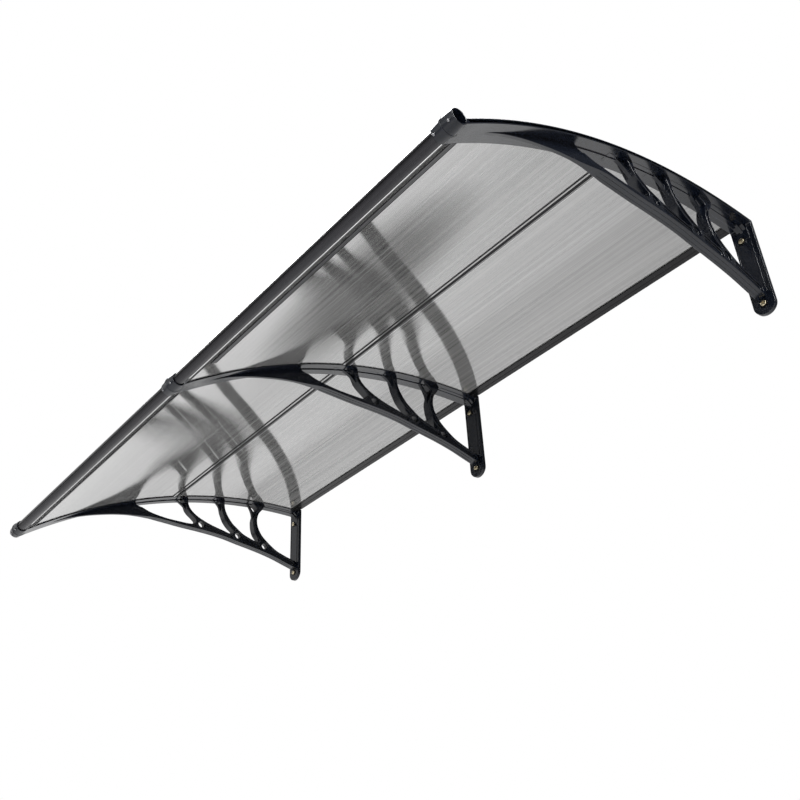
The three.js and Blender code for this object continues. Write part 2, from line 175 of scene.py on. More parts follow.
def spline(points, step=5.0):
    """A curve through the points, with a point about every step."""
    p = [np.asarray(q, float) for q in points]
    if len(p) < 3:
        return [tuple(q) for q in p]
    p = [2 * p[0] - p[1]] + p + [2 * p[-1] - p[-2]]
    out = []
    for i in range(1, len(p) - 2):
        a, b, c, d = p[i - 1 : i + 3]
        n = max(1, int(math.ceil(np.linalg.norm(c - b) / step)))
        t0 = 0.0
        t1 = t0 + max(np.linalg.norm(b - a), 1e-6) ** 0.5
        t2 = t1 + max(np.linalg.norm(c - b), 1e-6) ** 0.5
        t3 = t2 + max(np.linalg.norm(d - c), 1e-6) ** 0.5
        for k in range(n):
            t = t1 + (t2 - t1) * k / n
            a1 = (t1 - t) / (t1 - t0) * a + (t - t0) / (t1 - t0) * b
            a2 = (t2 - t) / (t2 - t1) * b + (t - t1) / (t2 - t1) * c
            a3 = (t3 - t) / (t3 - t2) * c + (t - t2) / (t3 - t2) * d
            b1 = (t2 - t) / (t2 - t0) * a1 + (t - t0) / (t2 - t0) * a2
            b2 = (t3 - t) / (t3 - t1) * a2 + (t - t1) / (t3 - t1) * a3
            out.append(tuple((t2 - t) / (t2 - t1) * b1 + (t - t1) / (t2 - t1) * b2))
    out.append(tuple(p[-2]))
    return out


def soften(loop, corner=35.0, fillet=2.0, step=5.0, arc_n=4):
    """Runs between corners become smooth curves, and each corner gets a small fillet."""
    p = [np.asarray(q, float) for q in loop]
    n = len(p)
    turn = []
    for i in range(n):
        a, b = p[i] - p[i - 1], p[(i + 1) % n] - p[i]
        c = np.dot(a, b) / max(np.linalg.norm(a) * np.linalg.norm(b), 1e-9)
        turn.append(math.degrees(math.acos(max(-1, min(1, c)))))
    corners = [i for i in range(n) if turn[i] > corner]
    if not corners:
        closed = [tuple(q) for q in p]
        return spline(closed[-1:] + closed + closed[:2], step)[0:-1]
    runs = []
    for j, c in enumerate(corners):
        e = corners[(j + 1) % len(corners)]
        if e <= c:
            e += n
        runs.append(spline([tuple(p[k % n]) for k in range(c, e + 1)], step))
    out = []
    for j, run in enumerate(runs):
        nxt = runs[(j + 1) % len(runs)]
        body = list(run)
        out.append((body, nxt))
    done = []
    cut = []
    for body, nxt in out:
        corner_pt = np.asarray(body[-1])

        def walk(points, d):
            left = d
            for k in range(len(points) - 1):
                a, b = np.asarray(points[k]), np.asarray(points[k + 1])
                seg = np.linalg.norm(b - a)
                if seg >= left:
                    return k, a + (b - a) * left / max(seg, 1e-9)
                left -= seg
            return len(points) - 2, np.asarray(points[-1])

        total_a = sum(np.linalg.norm(np.subtract(body[k + 1], body[k])) for k in range(len(body) - 1))
        total_b = sum(np.linalg.norm(np.subtract(nxt[k + 1], nxt[k])) for k in range(len(nxt) - 1))
        d = min(fillet, 0.42 * total_a, 0.42 * total_b)
        ka, pa = walk(body[::-1], d)
        kb, pb = walk(nxt, d)
        bez = [
            tuple((1 - t) ** 2 * pa + 2 * t * (1 - t) * corner_pt + t * t * pb)
            for t in (i / arc_n for i in range(arc_n + 1))
        ]
        cut.append((ka, kb, bez))
    m = len(runs)
    for j in range(m):
        start_skip = cut[j - 1][1]
        end_skip = cut[j][0]
        body = runs[j]
        done += [body[k] for k in range(start_skip + 1, len(body) - 1 - end_skip)]
        done += cut[j][2]
    clean = []
    for q in done:
        if not clean or math.hypot(q[0] - clean[-1][0], q[1] - clean[-1][1]) > 0.05:
            clean.append((float(q[0]), float(q[1])))
    if math.hypot(clean[0][0] - clean[-1][0], clean[0][1] - clean[-1][1]) < 0.05:
        clean.pop()
    return clean


# ------------------------------------------------------------------ meshes
def to_m(co):
    co = np.asarray(co, float).copy()
    co[:, 2] -= BOLT_MID
    return co * 0.001


def build(name, verts, faces):
    me = bpy.data.meshes.new(name)
    me.from_pydata([tuple(v) for v in to_m(verts)], [], faces)
    bm = bmesh.new()
    bm.from_mesh(me)
    bmesh.ops.remove_doubles(bm, verts=bm.verts, dist=1e-6)
    bmesh.ops.dissolve_degenerate(bm, edges=bm.edges, dist=1e-7)
    bmesh.ops.recalc_face_normals(bm, faces=bm.faces)
    if bm.calc_volume(signed=True) < 0:
        bmesh.ops.reverse_faces(bm, faces=bm.faces)
    bm.to_mesh(me)
    bm.free()
    ob = bpy.data.objects.new(name, me)
    scene.collection.objects.link(ob)
    return ob


AXES = {
    "x": lambda u, v, w: (w, u, v),  # outline in y, z; carried along x
    "y": lambda u, v, w: (u, w, v),  # outline in x, z; carried along y
}


def stack(name, levels, axis="x"):
    """levels: (w, [outer, hole, ...]) with matching outlines; closed by a cap at each end."""
    put = AXES[axis]
    verts, faces, rings = [], [], []
    for w, loops in levels:
        row = []
        for loop in loops:
            row.append(list(range(len(verts), len(verts) + len(loop))))
            verts += [put(q[0], q[1], w) for q in loop]
        rings.append(row)
    for a, b in zip(rings, rings[1:]):
        for la, lb in zip(a, b):
            n = len(la)
            faces += [(la[k], la[(k + 1) % n], lb[(k + 1) % n], lb[k]) for k in range(n)]
    for which in (0, -1):
        loops = [[Vector((q[0], q[1], 0)) for q in loop] for loop in levels[which][1]]
        flat = [i for ring in rings[which] for i in ring]
        for t in tessellate_polygon(loops):
            tri = tuple(flat[i] for i in t)
            faces.append(tri)
    return build(name, verts, faces)


def prism(name, outer, x0, x1, holes=(), r=0.8, steps=3, axis="x", ends=(True, True)):
    """A solid with rounded edges round both its faces."""
    loops = [turned_to(outer, True)] + [turned_to(h, False) for h in holes]

    def at(w, d):
        return (w, [inset(q, d) if d else np.asarray(q, float) for q in loops])

    levels = []
    th = [math.pi / 2 * i / steps for i in range(steps + 1)]
    if ends[0] and r > 0:
        levels += [at(x0 + r * (1 - math.cos(t)), r * (1 - math.sin(t))) for t in th]
    else:
        levels += [at(x0, 0)]
    if ends[1] and r > 0:
        levels += [at(x1 - r * (1 - math.cos(t)), r * (1 - math.sin(t))) for t in th[::-1]]
    else:
        levels += [at(x1, 0)]
    return stack(name, levels, axis)


def cutter(name, outline, floor, face, r=0.8, floor_r=1.0, past=2.0, steps=3, axis="x"):
    """A pocket cutter: rounded at its floor, and flared where it leaves the face."""
    s = 1 if face > floor else -1
    loop = turned_to(outline, True)
    levels = []
    for t in (math.pi / 2 * i / steps for i in range(steps + 1)):
        levels.append((floor + s * floor_r * (1 - math.cos(t)), [inset(loop, floor_r * (1 - math.sin(t)))]))
    for t in (math.pi / 2 * i / steps for i in range(steps + 1)):
        levels.append((face - s * r * (1 - math.sin(t)), [inset(loop, -r * (1 - math.cos(t)))]))
    levels.append((face + s * past, [inset(loop, -r - 0.001)]))
    return stack(name, levels, axis)


def revolve(name, profile, centre, n, axis="x"):
    """A closed profile of (radius, along) turned round an axis through centre: (y, z) for x, (x, z) for y."""
    verts, faces = [], []
    m = len(profile)
    for i in range(n):
        a = 2 * math.pi * i / n
        for r, w in profile:
            u, v = centre[0] + r * math.cos(a), centre[1] + r * math.sin(a)
            verts.append(AXES[axis](u, v, w))
    for i in range(n):
        j = (i + 1) % n
        for k in range(m):
            l = (k + 1) % m
            if profile[k][0] == 0 and profile[l][0] == 0:
                continue
            faces.append((i * m + k, i * m + l, j * m + l, j * m + k))
    return build(name, verts, faces)


def bake(ob):
    dg = bpy.context.evaluated_depsgraph_get()
    me = bpy.data.meshes.new_from_object(ob.evaluated_get(dg))
    old = ob.data
    ob.modifiers.clear()
    ob.data = me
    bpy.data.meshes.remove(old)
    return ob


def combine(ob, others, operation):
    for o in others:
        m = ob.modifiers.new("cut", "BOOLEAN")
        m.operation, m.solver, m.object = operation, "MANIFOLD", o
    bake(ob)
    for o in others:
        me = o.data
        bpy.data.objects.remove(o)
        bpy.data.meshes.remove(me)
    return ob


def finish_mesh(ob, angle=34.0):
    """Merges slivers, marks the sharp edges and lets the big faces lead the shading."""
    bm = bmesh.new()
    bm.from_mesh(ob.data)
    bmesh.ops.remove_doubles(bm, verts=bm.verts, dist=2e-6)
    bmesh.ops.dissolve_degenerate(bm, edges=bm.edges, dist=1e-6)
    bm.to_mesh(ob.data)
    bm.free()
    for p in ob.data.polygons:
        p.use_smooth = True
    ob.data.set_sharp_from_angle(angle=math.radians(angle))
    m = ob.modifiers.new("normals", "WEIGHTED_NORMAL")
    m.mode, m.weight, m.keep_sharp = "FACE_AREA", 50, True
    return bake(ob)


def moved_copy(ob, name, dx):
    me = ob.data.copy()
    me.transform(Matrix.Translation((dx * 0.001, 0, 0)))
    new = bpy.data.objects.new(name, me)
    scene.collection.objects.link(new)
    return new


# ------------------------------------------------------------------ bracket outlines, as in the CAD
web_low = [(-908, -41.2), (-880, -25.2), (-850, -8.5), (-800, 14), (-750, 31.5), (-700, 46), (-650, 56.5), (-600, 63)]
chord_low = [(-580, 65), (-535, 65.5), (-471, 64.5), (-400, 65.5), (-350, 65), (-300, 62), (-250, 55.5), (-200, 50), (-150, 43.5), (-100, 34.5), (-50, 22), (-9, 12)]
brace1_front = [(-507, 154), (-492, 150.2), (-481, 145.3), (-467, 136), (-457, 127), (-447, 117), (-431, 106), (-419, 97)]
brace1_rear = [(-456, 174), (-453, 148), (-444, 132), (-422, 115), (-389, 101), (-356, 92), (-313, 84), (-288, 79.5)]
brace2_front = [(-368, 193), (-357, 189.5), (-347, 185.5), (-338, 178.5), (-330, 168), (-322, 154.5), (-316, 141), (-307, 124), (-288, 104), (-276, 96)]
brace2_rear = [(-315, 206), (-312, 171), (-302, 148), (-280, 121), (-256, 104), (-235, 91), (-209, 82), (-180, 75.5)]
brace3_front = [(-223, 219.5), (-216, 211.5), (-210, 203), (-204, 192.5), (-199, 180), (-196.5, 165), (-196, 152), (-193, 125), (-185, 104), (-171, 88)]
# front edges of the full-width part of each brace: above, it forks off a thin prong with a window behind it
body1 = [(-474.5, 161.4), (-468.5, 150.5), (-463, 140), (-457, 127), (-447, 117), (-431, 106), (-419, 97)]
body2 = [(-335, 197), (-330.5, 184), (-326.5, 171), (-322, 154.5), (-316, 141), (-307, 124), (-288, 104), (-276, 96)]
body3 = [(-199.5, 219.2), (-190, 212), (-182, 203.5), (-184.5, 193), (-189.5, 180), (-194, 166), (-196, 152), (-193, 125), (-185, 104), (-171, 88)]
forks = [
    [(-520, 142), (-520, 176), (-474.5, 176)] + spline(body1[:4], 4) + [(-462, 122), (-480, 134), (-500, 140)],
    [(-382, 186), (-382, 212), (-335, 212)] + spline(body2[:4], 4) + [(-330, 150), (-345, 165), (-365, 182)],
    [(-235, 208), (-235, 232), (-199.5, 232)] + spline(body3[:7], 4) + [(-204, 152), (-207, 180), (-222, 205)],
]
brace3_rear = [(-148, 230), (-160, 204), (-173, 186), (-179, 163), (-177, 140), (-169, 121), (-156, 103), (-133, 84), (-115, 72), (-97, 62), (-54, 48), (-27, 42), (-9.6, 38.5)]


def under(y0, y1, n, lift=1.2):
    return arc(y0, y1, R_UNDER + lift, n)


open1 = [(-638, 101), (-633, 97.5), (-621, 95), (-590, 83), (-560, 77), (-525, 74.5), (-487, 75), (-450, 76.5), (-430, 79.5), (-419, 87)] + brace1_front[::-1] + under(-520, -639, 6, -0.4)
open2 = brace1_rear + [(-274, 82), (-269.5, 89)] + brace2_front[::-1] + under(-373, -452, 5, -0.4)
open3 = brace2_rear + [(-166, 75), (-161.5, 80.5)] + brace3_front[::-1] + under(-226, -310, 5, -0.4)
open4 = brace3_rear + [(-PLATE_T + 0.6, on_arc(-10, R_UNDER)[1] - 12), (-22, 229.8)] + under(-26, -144, 6, -1.2)
windows = [
    [(-494.5, 155.2), (-484, 158.6), (-474.5, 161.3), (-468.5, 150.5), (-472, 146.8), (-482, 149.8)],
    [(-355.5, 192.4), (-346, 194.6), (-335, 196.9), (-330.5, 184), (-333.5, 180), (-343.5, 187.2)],
    [(-215.5, 217.1), (-208, 218.1), (-199.5, 219.1), (-190, 212), (-182, 203.5), (-184.5, 196), (-191, 190.5), (-197.5, 197), (-206, 208)],
]


def recess(a, b):
    return offset_line(a, RIM) + offset_line(b, -RIM)[::-1]


pockets = [
    recess(spline(body1[1:], 9), spline(brace1_rear[1:5], 9)),
    recess(spline(body2[1:], 9), spline(brace2_rear[1:6], 9)),
    recess(spline(body3[3:], 9), spline(brace3_rear[2:8], 9)),
    offset_line([(-590, 65), (-535, 65.5), (-471, 64.5), (-424, 65.2)], RIM)
    + offset_line([(-428, 79.5), (-487, 75), (-525, 74.5), (-560, 77), (-588, 82)], RIM),
    [(-376, 69), (-350, 68.4), (-300, 65.6), (-276, 62.4), (-274, 76), (-288, 76.2), (-313, 80.6), (-356, 88.4), (-374, 92)],
    [(-232, 56.6), (-200, 53.4), (-165, 49), (-163, 66), (-180, 71.8), (-209, 78.4), (-230, 84.6)],
    [(-122, 42.3), (-100, 38), (-60, 28), (-22, 19.6), (-22, 37.6), (-54, 44.4), (-97, 58.2), (-116, 66)],
]


def sweep_arm(name, section, a_front, a_rear, n):
    """A closed section of (x, height over the underside) carried along the arm's curve."""
    verts, faces = [], []
    m = len(section)
    for i in range(n + 1):
        a = a_front + (a_rear - a_front) * i / n
        for x, h in section:
            r = R_UNDER + h
            verts.append((x, -r * math.sin(a), ARC_Z + r * math.cos(a)))
    for i in range(n):
        for k in range(m):
            l = (k + 1) % m
            faces.append((i * m + k, i * m + l, (i + 1) * m + l, (i + 1) * m + k))
    for i in (0, n):
        for t in tessellate_polygon([[Vector((q[0], q[1], 0)) for q in section]]):
            faces.append(tuple(i * m + k for k in t))
    return build(name, verts, faces)


def build_bracket():
    top_n, slot_n, fl = R_TOP - R_UNDER, R_SLOT - R_UNDER, FLANGE_T
    h = ARM_HALF
    section = soften(
        [(-h, 0), (h, 0), (h, fl), (WEB_HALF, fl), (WEB_HALF, slot_n), (h, slot_n), (h, top_n), (-h, top_n), (-h, slot_n), (-WEB_HALF, slot_n), (-WEB_HALF, fl), (-h, fl)],
        fillet=0.7, step=60, arc_n=3,
    )
    a_front = angle_at(LIP_Y + 1.6, R_UNDER)
    parts = [sweep_arm("arm", section, a_front, 0.4 / R_UNDER, 110)]
    # thin front web and the low rib that runs on under the arm
    outline = soften(web_low + chord_low + [(-9, 236)] + under(-12, -906, 24), fillet=1.5, step=9)
    through = [soften(q, fillet=3.0, step=4) for q in (open1, open2, open3, open4)] + [soften(w, fillet=2.0, step=3) for w in windows]
    web = prism("web", outline, -WEB_HALF, WEB_HALF, r=1.2)
    combine(web, [cutter_through(f"w{i}", q, WEB_HALF, 1.2) for i, q in enumerate(through)], "DIFFERENCE")
    parts.append(web)
    wide = soften([(-654, 55.8), (-625, 60), (-600, 63)] + chord_low + [(-9, 236)] + under(-12, -520, 14) + [(-560, 128), (-600, 102), (-645, 82)], fillet=2.0, step=6)
    truss = prism("truss", wide, -RIM_HALF, RIM_HALF, r=1.7, steps=4)
    combine(truss, [cutter_through(f"t{i}", q, RIM_HALF, 1.7) for i, q in enumerate(through)], "DIFFERENCE")
    # the chord narrows forward into the thin web
    for v in truss.data.vertices:
        t = (v.co.y * 1000 + 652) / 110
        if t < 1:
            t = max(t, 0.0)
            v.co.x *= (WEB_HALF + 0.3 + (RIM_HALF - WEB_HALF - 0.3) * t * t * (3 - 2 * t)) / RIM_HALF
    cuts = []
    for i, p in enumerate(forks):
        cuts.append(cutter(f"f{i}a", p, WEB_HALF, RIM_HALF, r=1.7, floor_r=0.3, steps=4))
        cuts.append(cutter(f"f{i}b", p, -WEB_HALF, -RIM_HALF, r=1.7, floor_r=0.3, steps=4))
    for i, p in enumerate(pockets):
        q = soften(p, fillet=4.5, step=4)
        cuts.append(cutter(f"p{i}a", q, CORE_HALF, RIM_HALF, r=1.1, floor_r=1.6, steps=4))
        cuts.append(cutter(f"p{i}b", q, -CORE_HALF, -RIM_HALF, r=1.1, floor_r=1.6, steps=4))
    combine(truss, cuts, "DIFFERENCE")
    for x in (-5.6, 4.0):
        line = [(-575, 65.1)] + chord_low[1:-1] + [(-30, 16.9)]
        cuts = [prism(f"g{x}", spline(offset_line(line, 0.7), 12) + spline(offset_line(line, -1.5), 12)[::-1], x, x + 1.6, r=0)]
        combine(truss, cuts, "DIFFERENCE")
    parts.append(truss)
    # raised rings, each a little rounder than its hole
    for i, c in enumerate(HOLES):
        parts.append(prism(f"ring{i}", circle(c, RING_R, 48), -RIM_HALF, RIM_HALF, r=1.5, steps=4))
    parts.append(prism("rib", arc(-645, -10, R_UNDER + 1, 60) + arc(-10, -645, R_UNDER - 2.6, 60), -1.6, 1.6, r=0.5, steps=2))
    parts.append(prism("gusset", soften([(-9.4, 214), (-19, 224), (-33, 230.6), (-9.4, 232.4)], fillet=1.0, step=30), -3.5, 3.5, r=0.7))
    # wall plate
    end = [(h * math.cos(math.pi + math.pi * i / 40), h * math.sin(math.pi + math.pi * i / 40)) for i in range(41)]
    plate_outline = end + [(h, PLATE_TOP - 4), (h - 0.3, PLATE_TOP - 2.2), (h - 1.2, PLATE_TOP - 0.6), (h - 2.4, PLATE_TOP), (-h + 2.4, PLATE_TOP), (-h + 1.2, PLATE_TOP - 0.6), (-h + 0.3, PLATE_TOP - 2.2), (-h, PLATE_TOP - 4)]
    plate = prism("plate", plate_outline, -PLATE_T, 0, r=1.5, steps=4, axis="y", ends=(True, False))
    chan = []
    for s in (-1, 1):
        x0, x1 = (RIM_HALF + 2.5, 24.4) if s > 0 else (-24.4, -RIM_HALF - 2.5)
        chan.append(cutter("chan", soften([(x0, 26), (x1, 26), (x1, 226), (x0, 226)], fillet=3.5, step=60), -PLATE_T + 1.4, -PLATE_T, r=0.6, floor_r=0.5, axis="y"))
    combine(plate, chan, "DIFFERENCE")
    parts.append(plate)
    zu = on_arc(-12, R_UNDER)[1]
    bead = [(-9.2, zu - 3.4), (-PLATE_T, zu - 3.4)] + [(-PLATE_T - 3.4 + 3.4 * math.cos(t), zu - 3.4 + 3.4 * math.sin(t)) for t in (math.pi / 2 * i / 8 for i in range(1, 8))] + [(-PLATE_T - 3.4, zu + 0.1), (-PLATE_T - 3.4, zu + 1.2), (-9.2, zu + 1.2)]
    parts.append(prism("bead", bead, -h + 0.8, h - 0.8, r=0.3, steps=2))
    parts.append(prism("shelf", [(-8, 236), (-0.01, 236), (-0.01, PLATE_TOP), (-8, PLATE_TOP)], -h + 1.5, h - 1.5, r=0.4, steps=2))
    parts.append(prism("seat_front", [front(p) for p in soften([(14, 0.05), (26, 0.05), (26, 1.5), (19.4, 1.5), (19.4, 9), (26, 9), (26, 10.3), (8, 10.3), (2, 2)], fillet=0.6, step=40)], -h, h, r=0.6, steps=2))
    # collar
    e, mid, rg = COLLAR_END, COLLAR_MID, COLLAR_RIDGE
    prof = [(0, -h), (e - 1.4, -h), (e - 0.7, -h + 0.3), (e, -h + 1.1), (mid, -4.4), (mid + 0.9, -4.25), (rg - 0.25, -3.95), (rg, -3.5), (rg, -0.6), (rg - 0.2, -0.1), (rg - 0.8, 0.2), (rg - 1.0, 0.6), (e + 0.35, h - 1.6), (e - 0.1, h - 0.5), (e - 0.6, h - 0.08), (e - 1.2, h), (0, h)]
    parts.append(revolve("collar", prof, AXIS, 96))
    body = parts[0]
    combine(body, parts[1:], "UNION")
    # bores, bolt holes and screw holes
    cuts = []
    bo = COLLAR_BORE
    cuts.append(revolve("bore_a", [(0, 2), (bo - 0.8, 2), (bo, 2.8), (bo, h - 0.9), (bo + 0.35, h - 0.3), (bo + 1.1, h), (bo + 1.2, h + 1), (0, h + 1)], AXIS, 96))
    cuts.append(revolve("bore_b", [(0, -h - 1), (bo + 1.2, -h - 1), (bo + 1.1, -h), (bo + 0.35, -h + 0.3), (bo, -h + 0.9), (bo, -2.8), (bo - 0.8, -2), (0, -2)], AXIS, 96))
    for x, z in ((0.0, 0.0), UPPER_BOLT):
        y = -PLATE_T
        cuts.append(revolve("hole", [(0, y - 1), (11.3, y - 1), (11.2, y), (10.8, y + 0.15), (10.6, y + 0.5), (10.6, y + 1.2), (4.6, y + 1.2), (4.6, 1), (0, 1)], (x, z), 48, axis="y"))
    for c in HOLES:
        cuts.append(cutter_through("round", circle(c, HOLE_R, 48), BORE_HALF, 0.8))
        cuts.append(cutter("seat_a", circle(c, SEAT_R, 48), BORE_HALF, RIM_HALF, r=0.9, floor_r=1.0))
        cuts.append(cutter("seat_b", circle(c, SEAT_R, 48), -BORE_HALF, -RIM_HALF, r=0.9, floor_r=1.0))
    # a blind round mark beside each upper bolt
    cuts.append(cutter("mark", circle((11, 186.5), 7.2, 40), -PLATE_T + 2.2, -PLATE_T, r=0.8, floor_r=0.6, axis="y"))
    for x in SCREW_X:
        cuts.append(screw_shape("screw_hole", x, [(0, TUBE_R - 0.6), (1.8, TUBE_R - 0.6), (1.8, 30), (0, 30)], 16))
    combine(body, cuts, "DIFFERENCE")
    return body


def cutter_through(name, loop, half, r, steps=4):
    """Cuts right through a wall of the given half thickness, rounding the edge on both faces."""
    loop = turned_to(loop, True)
    levels = [(-half - 2, [inset(loop, -r - 0.001)])]
    th = [math.pi / 2 * i / steps for i in range(steps + 1)]
    levels += [(-half + r * (1 - math.sin(t)), [inset(loop, -r * (1 - math.cos(t)))]) for t in th[::-1]]
    levels += [(half - r * (1 - math.sin(t)), [inset(loop, -r * (1 - math.cos(t)))]) for t in th]
    levels += [(half + 2, [inset(loop, -r - 0.001)])]
    return stack(name, levels)


def screw_shape(name, x, profile, n):
    """A screw through the collar's lower front, turned from (radius, distance from the bar's axis)."""
    a = math.pi + PHI - 0.06
    # the direction in which the head points, in the y-z plane
    d = np.array([math.cos(a), math.sin(a)])
    verts, faces = [], []
    m = len(profile)
    for i in range(n):
        t = 2 * math.pi * i / n
        for r, w in profile:
            u, v = r * math.cos(t), r * math.sin(t)
            verts.append((x + u, AXIS[0] + w * d[0] - v * d[1], AXIS[1] + w * d[1] + v * d[0]))
    for i in range(n):
        j = (i + 1) % n
        for k in range(m):
            l = (k + 1) % m
            if profile[k][0] == 0 and profile[l][0] == 0:
                continue
            faces.append((i * m + k, i * m + l, j * m + l, j * m + k))
    return build(name, verts, faces)


def hollow_sheet(name, which, a0, a1, x0, x1):
    """Both skins dip a little over every inner rib, and the sheet keeps the slow waves of a thin sheet in its slots."""
    n = int(round(abs(a1 - a0) * R_SHEET / FLUTE * 4))
    aa = [a0 + (a1 - a0) * i / n for i in range(n + 1)]
    xs = [x0 + (x1 - x0) * i / 30 for i in range(31)]

    def sag(x, a):
        s = abs(a - JA) * R_SHEET  # from the joiner
        v = 0.13 * math.exp(-s / 26.0) * (1 if which == "front" else -1)
        edge = min(1.0, (x - x0) / 60, (x1 - x) / 60)
        v += 0.07 * max(edge, 0) * math.sin(x / 61.0 + 3.1 * a + (0.6 if which == "front" else 2.1)) * math.sin(a * 17.0 + x / 400.0)
        return v

    verts, faces = [], []
    loop = [(a, 0) for a in aa] + [(a, 1) for a in aa[::-1]]
    m = len(loop)
    for x in xs:
        for a, top in loop:
            dip = 0.022 * (1 + math.cos(2 * math.pi * a * R_SHEET / FLUTE))
            r = R_SHEET + 0.1 + dip + sag(x, a) if not top else R_SHEET + SHEET_T - 0.1 - dip + sag(x, a)
            verts.append((x, -r * math.sin(a), ARC_Z + r * math.cos(a)))
    for i in range(len(xs) - 1):
        for k in range(m):
            l = (k + 1) % m
            faces.append((i * m + k, i * m + l, (i + 1) * m + l, (i + 1) * m + k))
    for i in (0, len(xs) - 1):  # ends: one strip of quads between the skins
        for k in range(n):
            faces.append((i * m + k, i * m + k + 1, i * m + m - 2 - k, i * m + m - 1 - k))
    return build(name, verts, faces)


# ------------------------------------------------------------------ materials
def new_material(name):
    m = bpy.data.materials.new(name)
    m.use_nodes = True
    nt = m.node_tree
    p = nt.nodes["Principled BSDF"]
    return m, nt, p


def node(nt, kind, **kw):
    n = nt.nodes.new(kind)
    for k, v in kw.items():
        if k in n.inputs.keys():
            n.inputs[k].default_value = v
        else:
            setattr(n, k, v)
    return n


def coords(nt, scale=(1, 1, 1)):
    tc = nt.nodes.new("ShaderNodeTexCoord")
    mp = nt.nodes.new("ShaderNodeMapping")
    mp.inputs["Scale"].default_value = scale
    nt.links.new(tc.outputs["Object"], mp.inputs["Vector"])
    return mp.outputs["Vector"]


def noise(nt, vec, scale, detail=3.0, rough=0.55):
    n = nt.nodes.new("ShaderNodeTexNoise")
    n.inputs["Scale"].default_value = scale
    n.inputs["Detail"].default_value = detail
    n.inputs["Roughness"].default_value = rough
    nt.links.new(vec, n.inputs["Vector"])
    return n.outputs["Fac"]


def ramp(nt, fac, stops):
    r = nt.nodes.new("ShaderNodeValToRGB")
    el = r.color_ramp.elements
    while len(el) < len(stops):
        el.new(0.5)
    for e, (at, c) in zip(el, stops):
        e.position = at
        e.color = (*c, 1) if len(c) == 3 else c
    nt.links.new(fac, r.inputs["Fac"])
    return r.outputs["Color"]


def spread(nt, fac, lo, hi, f0=0.3, f1=0.7):
    m = nt.nodes.new("ShaderNodeMapRange")
    m.inputs["From Min"].default_value, m.inputs["From Max"].default_value = f0, f1
    m.inputs["To Min"].default_value, m.inputs["To Max"].default_value = lo, hi
    nt.links.new(fac, m.inputs["Value"])
    return m.outputs["Result"]


def bump(nt, height, distance, strength=1.0, under_it=None):
    b = nt.nodes.new("ShaderNodeBump")
    b.inputs["Strength"].default_value = strength
    b.inputs["Distance"].default_value = distance
    nt.links.new(height, b.inputs["Height"])
    if under_it is not None:
        nt.links.new(under_it, b.inputs["Normal"])
    return b.outputs["Normal"]


def math_node(nt, op, a, b=None, c=None):
    m = nt.nodes.new("ShaderNodeMath")
    m.operation = op
    for i, v in enumerate((a, b, c)):
        if v is None:
            continue
        if isinstance(v, (int, float)):
            m.inputs[i].default_value = v
        else:
            nt.links.new(v, m.inputs[i])
    return m.outputs[0]


def black_plastic():
    m, nt, p = new_material("moulded_black_plastic")
    v = coords(nt)
    cloud = noise(nt, v, 9.0, 4.0, 0.6)
    grain = noise(nt, v, 1400.0, 2.0, 0.6)
    flow = noise(nt, coords(nt, (1.0, 0.35, 1.0)), 34.0, 3.0, 0.5)
    dust = noise(nt, v, 160.0, 5.0, 0.7)
    base = ramp(nt, cloud, [(0.3, (0.0030, 0.0042, 0.0075)), (0.55, (0.0038, 0.0052, 0.0090)), (0.75, (0.0052, 0.0066, 0.0105))])
    speck = ramp(nt, dust, [(0.70, (0, 0, 0)), (0.84, (0.006, 0.006, 0.007))])
    add = nt.nodes.new("ShaderNodeMix")
    add.data_type, add.blend_type = "RGBA", "ADD"
    add.inputs["Factor"].default_value = 1.0
    nt.links.new(base, add.inputs[6])
    nt.links.new(speck, add.inputs[7])
    nt.links.new(add.outputs[2], p.inputs["Base Color"])
    nt.links.new(spread(nt, flow, 0.13, 0.22), p.inputs["Roughness"])
    b1 = bump(nt, flow, 0.0006, 0.10)
    b2 = bump(nt, grain, 0.00004, 0.35, b1)
    nt.links.new(b2, p.inputs["Normal"])
    p.inputs["IOR"].default_value = 1.5
    p.inputs["Specular IOR Level"].default_value = 0.34
    return m


def anodised(name, dim=1.0):
    m, nt, p = new_material(name)
    lines = noise(nt, coords(nt, (1.2, 900.0, 900.0)), 1.0, 3.0, 0.6)
    cloud = noise(nt, coords(nt, (0.6, 6, 6)), 3.0, 3.0, 0.5)
    base = ramp(nt, lines, [(0.25, (0.026 * dim, 0.026 * dim, 0.029 * dim)), (0.5, (0.036 * dim, 0.0355 * dim, 0.039 * dim)), (0.75, (0.048 * dim, 0.047 * dim, 0.051 * dim))])
    tint = ramp(nt, cloud, [(0.3, (0.86, 0.86, 0.88)), (0.7, (1.0, 0.99, 0.98))])
    mul = nt.nodes.new("ShaderNodeMix")
    mul.data_type, mul.blend_type = "RGBA", "MULTIPLY"
    mul.inputs["Factor"].default_value = 1.0
    nt.links.new(base, mul.inputs[6])
    nt.links.new(tint, mul.inputs[7])
    nt.links.new(mul.outputs[2], p.inputs["Base Color"])
    p.inputs["Metallic"].default_value = 0.85
    nt.links.new(spread(nt, lines, 0.22, 0.33), p.inputs["Roughness"])
    nt.links.new(bump(nt, lines, 0.00002, 0.5), p.inputs["Normal"])
    return m


